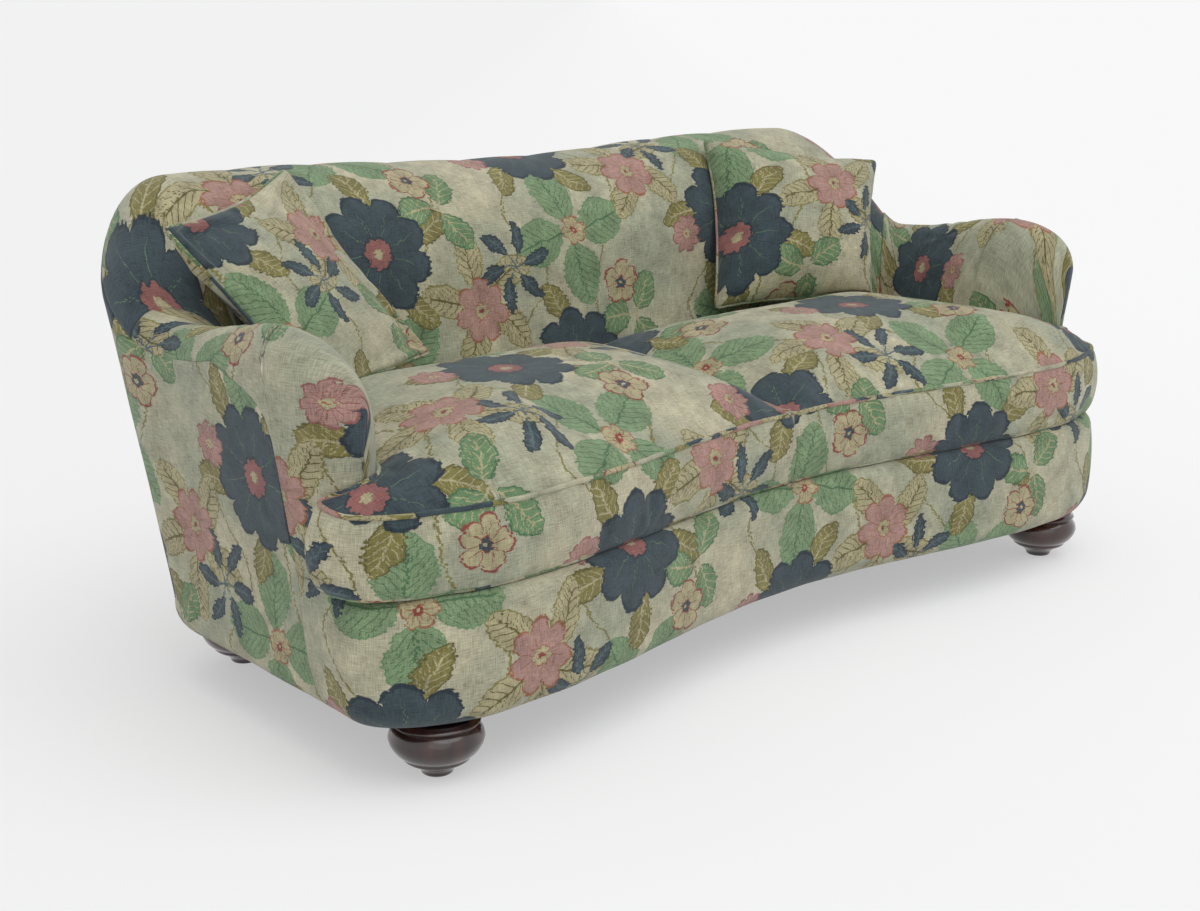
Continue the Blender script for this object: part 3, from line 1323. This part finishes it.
front_border()
side_panel = outside_panel(seam_u, lambda level: panel_join, 110, 64)
covers_of_both_sides(
    "outside_arm_cover", *side_panel, False, "outside_arm_panel", "side_rail", left_print_shift)
rear_panel = outside_panel(lambda level: panel_join, lambda level: 10 - panel_join, 170, 84)
cover("outside_back_cover", *rear_panel, False, ["outside_back_panel"], over="back_seat_rail")
arm_cover()
back = back_cover()
frame_cloths()
right_seat, left_seat = seat_cushions()
arm_right, arm_left = bpy.data.objects["arm_cover_right"], bpy.data.objects["arm_cover_left"]
scatter_cushion("right", [back, right_seat, left_seat, arm_right])
scatter_cushion("left", [back, left_seat, right_seat, arm_left])
bun_feet()

# ---- Studio ----


def seen_rays(n):
    """1 for what the camera sees, also in a gloss or through glass."""
    rays = n.add("ShaderNodeLightPath").outputs
    return n.math("MAXIMUM", rays["Is Camera Ray"], n.math(
        "MAXIMUM", rays["Is Glossy Ray"], rays["Is Transmission Ray"]))


floor_size, paper_share, paper_glow = 600, 0.4, 1.18
air_strength, air_seen_strength = 0.58, 0.94
studio_lights = {
    "overhead_light": {"towards": (-0.10, 0.35, -1), "spread": 60, "strength": 1.05},
    "front_light": {"towards": (0.45, 0.75, -0.6), "spread": 50, "strength": 0.25},
}


def studio():
    """A pale paper sweep under even, soft light."""
    bpy.ops.object.select_all(action="DESELECT")
    bpy.ops.mesh.primitive_plane_add(size=floor_size, location=(0, 0, 0))
    floor = bpy.context.object
    floor.name = "studio_floor"
    paint, n, shader = new_material("studio_floor_paint")
    n.fill(shader, {"Base Color": tone(240, 240, 241), "Roughness": 0.9, "Specular IOR Level": 0.0})
    # Seen by the camera, or in a gloss, it is a paper sweep that is palest on the right
    across = n.vector("DOT_PRODUCT", n.place(), (0.728, -0.686, 0.0))
    paper = n.paint(tone(250, 250, 251), tone(236, 236, 236), n.ramp(across, -2.2, 1.9))
    glow = n.add("ShaderNodeEmission", {"Color": paper, "Strength": paper_glow})
    blend = n.add("ShaderNodeMixShader", {
        0: n.math("MULTIPLY", seen_rays(n), paper_share), 1: shader.outputs[0], 2: glow.outputs[0]})
    n.fill(paint.node_tree.nodes["Material Output"], {"Surface": blend.outputs[0]})
    floor.data.materials.append(paint)

    world = bpy.data.worlds.new("studio_air")
    world.use_nodes = True
    bpy.context.scene.world = world
    n = Nodes(world.node_tree)
    strength = n.math("MULTIPLY_ADD", seen_rays(n), air_seen_strength - air_strength, air_strength)
    n.fill(world.node_tree.nodes["Background"], {"Color": (1, 1, 1, 1), "Strength": strength})

    for name, setting in studio_lights.items():
        light = bpy.data.lights.new(name, "SUN")
        light.angle, light.energy = math.radians(setting["spread"]), setting["strength"]
        lamp = add_object(name, light)
        lamp.location = (0, 0, 3)
        lamp.rotation_euler = Vector(setting["towards"]).to_track_quat("-Z", "Y").to_euler()


camera_lens, camera_place = 54.54, (-2.405, -1.9562 + front_line, 1.169)
camera_down, camera_turn = 14.46, 43.27


def photographers_camera():
    data = bpy.data.cameras.new("camera")
    data.sensor_width, data.lens, data.clip_end = 36, camera_lens, 1000
    bpy.context.scene.camera = camera = add_object("camera", data)
    camera.location = camera_place
    camera.rotation_euler = (math.radians(90 - camera_down), 0, math.radians(-camera_turn))


studio()
photographers_camera()
bpy.context.scene.view_settings.view_transform = "Standard"
